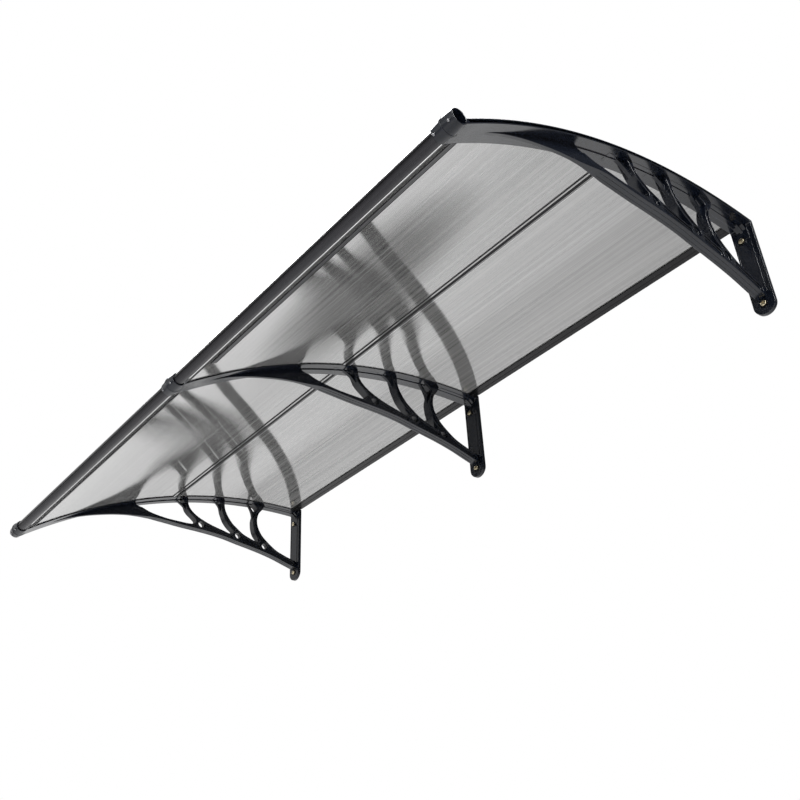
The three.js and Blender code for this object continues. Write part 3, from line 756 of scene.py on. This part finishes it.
def smoke_sheet():
    """Smoke-tinted hollow sheet: fine lines where its inner ribs run, along X."""
    m, nt, p = new_material("smoke_hollow_sheet")
    tc = nt.nodes.new("ShaderNodeTexCoord")
    sp = nt.nodes.new("ShaderNodeSeparateXYZ")
    nt.links.new(tc.outputs["Object"], sp.inputs["Vector"])
    up = math_node(nt, "ADD", sp.outputs["Z"], (BOLT_MID - ARC_Z) * 0.001)
    back = math_node(nt, "MULTIPLY", sp.outputs["Y"], -1.0)
    ang = math_node(nt, "ARCTAN2", back, up)
    run = math_node(nt, "MULTIPLY", ang, R_SHEET / FLUTE)  # ribs passed
    cell = math_node(nt, "PINGPONG", run, 0.5)
    rib = spread(nt, cell, 1.0, 0.0, 0.02, 0.16)
    # slow streaks along the sheet, as drawn from the die
    com = nt.nodes.new("ShaderNodeCombineXYZ")
    nt.links.new(math_node(nt, "MULTIPLY", sp.outputs["X"], 0.35), com.inputs["X"])
    nt.links.new(math_node(nt, "MULTIPLY", ang, 120.0), com.inputs["Y"])
    streak = noise(nt, com.outputs["Vector"], 1.0, 6.0, 0.72)
    cloud = noise(nt, coords(nt), 3.0, 3.0, 0.5)
    base = ramp(nt, streak, [(0.36, (0.085, 0.085, 0.084)), (0.5, (0.135, 0.134, 0.132)), (0.64, (0.185, 0.184, 0.182))])
    dark = nt.nodes.new("ShaderNodeMix")
    dark.data_type, dark.blend_type = "RGBA", "MULTIPLY"
    nt.links.new(math_node(nt, "MULTIPLY", rib, 0.30), dark.inputs["Factor"])
    nt.links.new(base, dark.inputs[6])
    dark.inputs[7].default_value = (0.35, 0.35, 0.36, 1)
    nt.links.new(dark.outputs[2], p.inputs["Base Color"])
    nt.links.new(spread(nt, cloud, 0.06, 0.10), p.inputs["Roughness"])
    nt.links.new(bump(nt, streak, 0.0001, 0.2), p.inputs["Normal"])
    p.inputs["IOR"].default_value = 1.8
    p.inputs["Coat Weight"].default_value = 0.8
    p.inputs["Coat Roughness"].default_value = 0.04
    p.inputs["Coat IOR"].default_value = 1.6
    return m


def clear_joiner():
    """Clear smoke plastic, with painted shade in bands along its front edge and behind its middle, and a painted
    highlight along its rear edge.
    """
    m, nt, p = new_material("smoky_clear_joiner")
    tc = nt.nodes.new("ShaderNodeTexCoord")
    sp = nt.nodes.new("ShaderNodeSeparateXYZ")
    nt.links.new(tc.outputs["Object"], sp.inputs["Vector"])
    up = math_node(nt, "ADD", sp.outputs["Z"], (BOLT_MID - ARC_Z) * 0.001)
    ang = math_node(nt, "ARCTAN2", math_node(nt, "MULTIPLY", sp.outputs["Y"], -1.0), up)
    run = math_node(nt, "MULTIPLY", math_node(nt, "SUBTRACT", JA, ang), R_UNDER)  # mm towards the wall
    across = spread(nt, run, 0.0, 1.0, -16.0, 16.0)

    def at(mm):
        return (mm + 16) / 32

    # body is the plastic's own tone; dim is painted shade for the dark bands, and the lightest stops at the rear edge
    # are a painted highlight
    body, dim = (0.150, 0.149, 0.147), (0.020, 0.020, 0.022)
    tone = ramp(nt, across, [(at(-15.4), dim), (at(-12.8), dim), (at(-11.6), body), (at(3.2), body), (at(4.4), (0.15, 0.15, 0.15)), (at(7.2), (0.14, 0.14, 0.14)), (at(8.2), (0.03, 0.03, 0.031)), (at(9.8), (0.03, 0.03, 0.031)), (at(11.4), (0.12, 0.12, 0.12)), (at(13.2), (0.34, 0.34, 0.345)), (at(15.6), (0.42, 0.42, 0.425))])
    gloss = ramp(nt, across, [(at(-15.4), (0.06,) * 3), (at(-12.6), (0.06,) * 3), (at(-11.4), (1, 1, 1)), (at(7.2), (0.75,) * 3), (at(8.2), (0.25,) * 3), (at(9.8), (0.25,) * 3), (at(11.4), (1, 1, 1))])
    nt.links.new(math_node(nt, "MULTIPLY", gloss, 0.5), p.inputs["Specular IOR Level"])
    nt.links.new(math_node(nt, "MULTIPLY", gloss, 0.6), p.inputs["Coat Weight"])
    streak = noise(nt, coords(nt, (1.0, 260.0, 260.0)), 1.0, 3.0, 0.6)
    mul = nt.nodes.new("ShaderNodeMix")
    mul.data_type, mul.blend_type = "RGBA", "MULTIPLY"
    mul.inputs["Factor"].default_value = 1.0
    nt.links.new(tone, mul.inputs[6])
    nt.links.new(ramp(nt, streak, [(0.3, (0.84, 0.84, 0.84)), (0.7, (1.0, 1.0, 1.0))]), mul.inputs[7])
    nt.links.new(mul.outputs[2], p.inputs["Base Color"])
    nt.links.new(spread(nt, streak, 0.06, 0.11), p.inputs["Roughness"])
    p.inputs["IOR"].default_value = 1.8
    p.inputs["Coat Roughness"].default_value = 0.05
    nt.links.new(bump(nt, streak, 0.00004, 0.4), p.inputs["Normal"])
    return m


def plain_streaked(name, lo, hi, rough, metallic=0.0, specular=0.5):
    m, nt, p = new_material(name)
    streak = noise(nt, coords(nt, (1.0, 300.0, 300.0)), 1.0, 3.0, 0.6)
    nt.links.new(ramp(nt, streak, [(0.3, lo), (0.7, hi)]), p.inputs["Base Color"])
    nt.links.new(spread(nt, streak, rough * 0.85, rough * 1.2), p.inputs["Roughness"])
    nt.links.new(bump(nt, streak, 0.00003, 0.4), p.inputs["Normal"])
    p.inputs["Metallic"].default_value = metallic
    p.inputs["Specular IOR Level"].default_value = specular
    return m


def rubber():
    m, nt, p = new_material("seal_rubber")
    v = coords(nt)
    n = noise(nt, v, 420.0, 4.0, 0.6)
    slow = noise(nt, coords(nt, (2, 60, 60)), 1.0, 3.0, 0.6)
    nt.links.new(ramp(nt, slow, [(0.3, (0.020, 0.020, 0.022)), (0.7, (0.038, 0.038, 0.041))]), p.inputs["Base Color"])
    nt.links.new(spread(nt, n, 0.30, 0.42), p.inputs["Roughness"])
    nt.links.new(bump(nt, n, 0.00003, 0.3), p.inputs["Normal"])
    p.inputs["IOR"].default_value = 1.5
    p.inputs["Specular IOR Level"].default_value = 0.16
    return m


def metal(name, tints, rough, scale=260.0):
    m, nt, p = new_material(name)
    v = coords(nt)
    n = noise(nt, v, scale, 4.0, 0.65)
    fine = noise(nt, v, scale * 9, 2.0, 0.5)
    nt.links.new(ramp(nt, n, [(0.3, tints[0]), (0.52, tints[1]), (0.72, tints[2])]), p.inputs["Base Color"])
    p.inputs["Metallic"].default_value = 1.0
    nt.links.new(spread(nt, n, rough * 0.8, rough * 1.35), p.inputs["Roughness"])
    nt.links.new(bump(nt, fine, 0.00002, 0.5), p.inputs["Normal"])
    return m


BLACK = black_plastic()
ALU = anodised("dark_anodised_aluminium", 0.82)
# the rail's copy of the anodised finish is made darker than the bar's as painted shade
RAIL = anodised("anodised_aluminium_with_painted_shade", 0.2)
SMOKE = smoke_sheet()
JOIN = clear_joiner()
# one near-black material for the dark strip along the joiner's middle and for the painted shadow bead at the seal's
# rear edge
DARK_STRIP_AND_SHADOW = plain_streaked("dark_strip_and_painted_shadow", (0.002, 0.002, 0.0025), (0.004, 0.004, 0.005), 0.45, specular=0.08)
RUBBER = rubber()
# the lip's lighter colour is a painted highlight along the bar's lower edge
LIP_HIGHLIGHT_METAL = plain_streaked("aluminium_lip_painted_highlight", (0.11, 0.11, 0.113), (0.17, 0.17, 0.173), 0.30, 0.9)
SCREW = metal("dark_screw_steel", ((0.12, 0.12, 0.13), (0.20, 0.20, 0.21), (0.30, 0.30, 0.30)), 0.14)
ZINC = metal("zinc_plated_steel", ((0.42, 0.36, 0.24), (0.55, 0.48, 0.33), (0.62, 0.58, 0.46)), 0.30)
# washer steel darkened as painted shade: the dark ring round each wall bolt
STEEL = metal("washer_steel_painted_shade", ((0.008, 0.008, 0.009), (0.014, 0.014, 0.015), (0.030, 0.029, 0.027)), 0.30)


def paint(ob, material):
    ob.data.materials.clear()
    ob.data.materials.append(material)
    for p in ob.data.polygons:
        p.material_index = 0


def show(ob, material, slot, *nodes):
    paint(ob, material)
    finish_mesh(ob)
    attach(ob, "root")
    if nodes:
        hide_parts(*nodes)
    return ob


# ------------------------------------------------------------------ brackets
SIDES = (("left", -BAY), ("middle", 0.0), ("right", BAY))
master = build_bracket()
paint(master, BLACK)
finish_mesh(master)
for side, dx in SIDES:
    ob = moved_copy(master, f"bracket_{side}_moulding", dx)
    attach(ob, "root")
    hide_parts(f"bracket_{side}")
old = master.data
bpy.data.objects.remove(master)
bpy.data.meshes.remove(old)


# ------------------------------------------------------------------ fasteners
HEAD_Y = -PLATE_T + 1.2 - 0.3


def wall_bolt(x, z, turn):
    y = HEAD_Y - 1.6 - 0.3
    dome = [(7.2 * math.sin(t), y - 3.0 - 1.6 * math.cos(t)) for t in (math.pi / 2 * i / 10 for i in range(11))]
    dome[0] = (0, dome[0][1])
    head = revolve("head", dome + [(7.2, y - 0.4), (6.9, y), (3.9, y), (3.9, -0.9), (3.4, -0.4), (0, -0.4)], (x, z), 48, axis="y")

    def bar(a, half_l, half_w):
        c, s = math.cos(a), math.sin(a)
        return [(x + u * c - v * s, z + u * s + v * c) for u, v in soften([(-half_l, -half_w), (half_l, -half_w), (half_l, half_w), (-half_l, half_w)], fillet=0.5, step=20)]

    cuts = [prism("slot", bar(turn, 4.4, 0.8), y - 6, y - 2.4, r=0.2, steps=2, axis="y"), prism("slot", bar(turn + math.pi / 2, 4.4, 0.8), y - 6, y - 2.4, r=0.2, steps=2, axis="y")]
    return combine(head, cuts, "DIFFERENCE")


for side, dx in SIDES:
    for i, (where, bx, bz) in enumerate((("lower", 0.0, 0.0), ("upper", *UPPER_BOLT))):
        ob = wall_bolt(dx + bx, bz, 0.6 + 0.5 * i + dx * 0.0007)
        ob.name = f"bolt_{side}_{where}"
        show(ob, ZINC, "zinc_steel", f"wall_bolt_{side}_{where}")
        w0, w1 = HEAD_Y - 1.6, HEAD_Y
        ob = revolve(f"washer_{side}_{where}", [(4.6, w0), (9.2, w0), (9.6, w0 + 0.4), (9.6, w1 - 0.1), (9.5, w1), (4.4, w1), (4.4, w0 + 0.2)], (dx + bx, bz), 64, axis="y")
        show(ob, STEEL, "washer_steel", f"bolt_washer_{side}_{where}")
    for i, sx in enumerate(SCREW_X):
        seat = (COLLAR_END + 0.47 if sx < 0 else COLLAR_END + 1.57) + 0.3
        prof = [(0, TUBE_R + 0.45), (1.1, TUBE_R + 0.45), (1.5, TUBE_R + 0.9), (1.5, seat), (2.95, seat), (3.1, seat + 0.25), (3.0, seat + 0.9), (2.6, seat + 1.45), (1.9, seat + 1.85), (1.0, seat + 2.05), (0, seat + 2.05)]
        ob = screw_shape(f"screw_{side}_{'ab'[i]}", dx + sx, prof, 32)
        show(ob, SCREW, "zinc_steel", f"collar_screw_{side}_{'ab'[i]}")

# ------------------------------------------------------------------ bays
for side, x0, x1 in (("left", -BAY, 0.0), ("right", 0.0, BAY)):
    e0, e1 = x0 + ARM_HALF + GAP, x1 - ARM_HALF - GAP
    # front bar: a round tube with twin grooves on its nose, and the tail that holds the sheet
    tail = [front(p) for p in soften([(3.4, 0), (26, -0.2), (26, 2), (14, 2.2), (14, 7.9), (37, 7.9), (36, 9.6), (13, 12), (6, 12), (5, 4)], fillet=0.7, step=60, arc_n=3)]
    rim = []
    for i in range(168):
        a = 2 * math.pi * i / 168
        rim.append(a)
    # two square grooves along the nose, the upper one wider
    rim = sorted([a for a in rim if not (2.70 < a < 3.06)] + [2.72, 2.7399, 2.7401, 2.76, 2.80, 2.84, 2.88, 2.8999, 2.9001, 2.915, 2.93, 2.9449, 2.9451, 2.96, 3.00, 3.0199, 3.0201, 3.04])

    def nose(a):
        if 2.74 < a < 2.90:
            return TUBE_R - 1.5
        return TUBE_R - 1.2 if 2.945 < a < 3.02 else TUBE_R

    rim = [front((nose(a) * math.cos(a), TUBE_N + nose(a) * math.sin(a))) for a in rim]
    tube = prism("tube", rim, x0 + 3.5, x1 - 3.5, holes=[[front((12 * math.cos(a), TUBE_N + 12 * math.sin(a))) for a in (2 * math.pi * i / 96 for i in range(96))]], r=0.4, steps=2)
    tl = prism("tail", tail, e0, e1, r=0.3, steps=2)
    bore = prism("bore", [front((12 * math.cos(a), TUBE_N + 12 * math.sin(a))) for a in (2 * math.pi * i / 96 for i in range(96))], x0, x1, r=0)
    combine(tl, [bore], "DIFFERENCE")
    combine(tube, [tl], "UNION")
    tube.name = f"bar_{side}"
    show(tube, ALU, "dark_aluminium", f"front_bar_{side}")

    sx = x0 + 118 if side == "right" else e0
    wide_seal = [(26.3, 0), (33.2, -0.2), (34, 0.25), (34.8, -0.2), (42, -0.4), (42, 1.8), (26.3, 2.1)]
    strip = wide_seal if side == "right" else [(26.3, 0), (31.5, -0.1), (31.5, 1.9), (26.3, 2.1)]
    ob = prism(f"seal_{side}", [front(p) for p in soften(strip, fillet=0.4, step=40)], sx, e1, r=0.4, steps=2)
    show(ob, RUBBER, "seal_rubber", f"front_seal_{side}")

    # rounded lip under the bar, coloured lighter than the bar as a painted highlight, and a black bead at the seal's
    # rear edge as a painted shadow
    lip = [front(p) for p in soften([(3.0, 0.35), (3.5, -0.15), (4.8, -0.15), (5.2, 0.4), (4.6, 1.0), (3.3, 1.0)], fillet=0.3, step=40)]
    ob = prism(f"lip_{side}", lip, e0 + 0.2, e1 - 0.2, r=0.3, steps=2)
    show(ob, LIP_HIGHLIGHT_METAL, "dark_aluminium", f"front_bar_{side}")
    if side == "right":
        # black bead along the seal's rear edge: a painted shadow where the seal meets the sheet
        bead = [front(p) for p in soften([(42.1, -0.7), (44.9, -0.8), (44.9, 1.9), (42.1, 1.9)], fillet=0.9, step=40)]
        ob = prism(f"bead_{side}", bead, sx, e1, r=0.5, steps=2)
        show(ob, DARK_STRIP_AND_SHADOW, "seal_rubber", f"front_seal_{side}")

    # wall rail
    rail = soften([(-46, 231), (-32, 231), (-31.4, 231.9), (-29.6, 231.9), (-29, 231), (-16, 231), (-16, 243.7), (-0.02, 243.7), (-0.02, 256), (-2, 256), (-2, 245.7), (-18, 245.7), (-18, 241.6), (-46, 241.6), (-46, 239.6), (-18, 239.6), (-18, 233.4), (-46, 233.4)], fillet=0.45, step=60, arc_n=3)
    ob = prism(f"rail_{side}", rail, e0, e1, r=0.35, steps=2)
    show(ob, RAIL, "dark_aluminium", f"wall_rail_{side}")

    # joiner: an H section of clear smoke plastic with a dark strip along its middle; the plastic's colour carries
    # painted shade near its front edge and a painted highlight on its rear edge
    lo, li, ui, h, w = FLANGE_T - 1.5, FLANGE_T, R_SLOT - R_UNDER, JOINER_HALF, 0.9
    uo = ui + 1.5
    jo = [at_joiner(p) for p in soften([(-h, lo), (-6.2, lo), (-6.1, lo + 0.8), (6.1, lo + 0.8), (6.2, lo), (h - 0.5, lo), (h, lo + 0.5), (h, li), (w, li), (w, ui), (h, ui), (h, uo), (-h, uo), (-h, ui), (-w, ui), (-w, li), (-h, li)], fillet=0.25, step=60, arc_n=2)]
    ob = prism(f"joiner_{side}_profile", jo, e0, e1, r=0.2, steps=2)
    show(ob, JOIN, "clear_joiner", f"joiner_{side}")
    # a dark strip along the joiner's middle
    dark_strip = [at_joiner(p) for p in soften([(-3.8, lo - 0.5), (3.8, lo - 0.5), (6.0, lo + 0.05), (6.0, lo + 0.76), (-6.0, lo + 0.76), (-6.0, lo + 0.05)], fillet=0.15, step=60)]
    ob = prism(f"joiner_{side}_core", dark_strip, e0 + 0.3, e1 - 0.3, r=0.1, steps=1)
    show(ob, DARK_STRIP_AND_SHADOW, "clear_joiner", f"joiner_{side}")

    # hollow sheets
    foot = (-R_SHEET * math.sin(JA), ARC_Z + R_SHEET * math.cos(JA))
    jy = local(foot, JA)
    for which, ya, yb in (("front", front((SHEET_FRONT, 0))[0], jy((-2.4, 0))[0]), ("rear", jy((2.4, 0))[0], SHEET_REAR_Y)):
        ob = hollow_sheet(f"panel_{which}_{side}", which, angle_at(ya, R_SHEET), angle_at(yb, R_SHEET), x0 + SHEET_INSET, x1 - SHEET_INSET)
        show(ob, SMOKE, "hollow_sheet", f"sheet_{which}_{side}")

# ------------------------------------------------------------------ floor, world and lights
def pale_floor():
    me = bpy.data.meshes.new("floor")
    s, far, z = 14.0, 4.3, -2.1
    me.from_pydata([(-s, -s, z), (s, -s, z), (s, far, z), (-s, far, z)], [], [(0, 1, 2, 3)])
    ob = bpy.data.objects.new("floor", me)
    scene.collection.objects.link(ob)
    m, nt, p = new_material("pale_floor")
    n = noise(nt, coords(nt), 1.5, 4.0, 0.5)
    nt.links.new(ramp(nt, n, [(0.3, (0.80, 0.80, 0.80)), (0.7, (0.84, 0.84, 0.84))]), p.inputs["Base Color"])
    p.inputs["Roughness"].default_value = 0.8
    me.materials.append(m)
    ob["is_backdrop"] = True


pale_floor()


def studio_world():
    w = bpy.data.worlds.new("studio")
    scene.world = w
    w.use_nodes = True
    nt = w.node_tree
    bg = nt.nodes["Background"]
    tc = nt.nodes.new("ShaderNodeTexCoord")
    sp = nt.nodes.new("ShaderNodeSeparateXYZ")
    nt.links.new(tc.outputs["Generated"], sp.inputs["Vector"])
    # a pale room: bright low behind, quieter to the right and overhead, with one dim corner at the back
    side = spread(nt, sp.outputs["X"], 1.0, 0.16, -0.35, 0.35)
    low = spread(nt, sp.outputs["Z"], 1.5, 1.17, -0.24, -0.06)
    far = math_node(nt, "MULTIPLY", spread(nt, sp.outputs["X"], 0.84, 1.0, -0.86, -0.6), spread(nt, sp.outputs["Z"], 0.62, 1.0, -0.5, -0.38))
    top = spread(nt, sp.outputs["Z"], 1.0, 0.45, 0.2, 0.6)
    dot = nt.nodes.new("ShaderNodeVectorMath")
    dot.operation = "DOT_PRODUCT"
    nt.links.new(tc.outputs["Generated"], dot.inputs[0])
    dot.inputs[1].default_value = Vector((-0.600, 0.7985, 0.025)).normalized()
    corner = spread(nt, dot.outputs["Value"], 1.0, 0.24, 0.9872, 0.9978)
    grey = math_node(nt, "MULTIPLY", math_node(nt, "MULTIPLY", side, math_node(nt, "MULTIPLY", low, far)), math_node(nt, "MULTIPLY", top, corner))
    com = nt.nodes.new("ShaderNodeCombineXYZ")
    for k in ("X", "Y", "Z"):
        nt.links.new(grey, com.inputs[k])
    lp = nt.nodes.new("ShaderNodeLightPath")
    mix = nt.nodes.new("ShaderNodeMix")
    mix.data_type = "RGBA"
    nt.links.new(lp.outputs["Is Camera Ray"], mix.inputs["Factor"])
    nt.links.new(com.outputs["Vector"], mix.inputs[6])
    mix.inputs[7].default_value = (1.0, 1.0, 1.0, 1)
    nt.links.new(mix.outputs[2], bg.inputs["Color"])
    bg.inputs["Strength"].default_value = 1.0


studio_world()


def area_light(name, at, to, size, power, size_y=None):
    d = bpy.data.lights.new(name, "AREA")
    d.energy, d.size = power, size
    if size_y:
        d.shape, d.size_y = "RECTANGLE", size_y
    ob = bpy.data.objects.new(name, d)
    ob.location = at
    ob.rotation_euler = (Vector(to) - Vector(at)).to_track_quat("-Z", "Y").to_euler()
    scene.collection.objects.link(ob)


area_light("overhead", (-3.0, 1.0, 5.0), (-2.2, 0.6, -2.1), 5.0, 800)
area_light("strip_right", (3.6, -0.6, 1.6), (0.3, -0.5, 0), 0.35, 130, size_y=2.6)
area_light("strip_low", (3.4, -3.0, 0.3), (0.3, -0.4, 0), 0.25, 60, size_y=2.0)
area_light("strip_front", (0.6, -3.6, 0.4), (0, -0.4, 0), 0.3, 40, size_y=3.0)

scene.view_settings.view_transform = "Standard"
scene.view_settings.look = "None"

lo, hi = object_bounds()
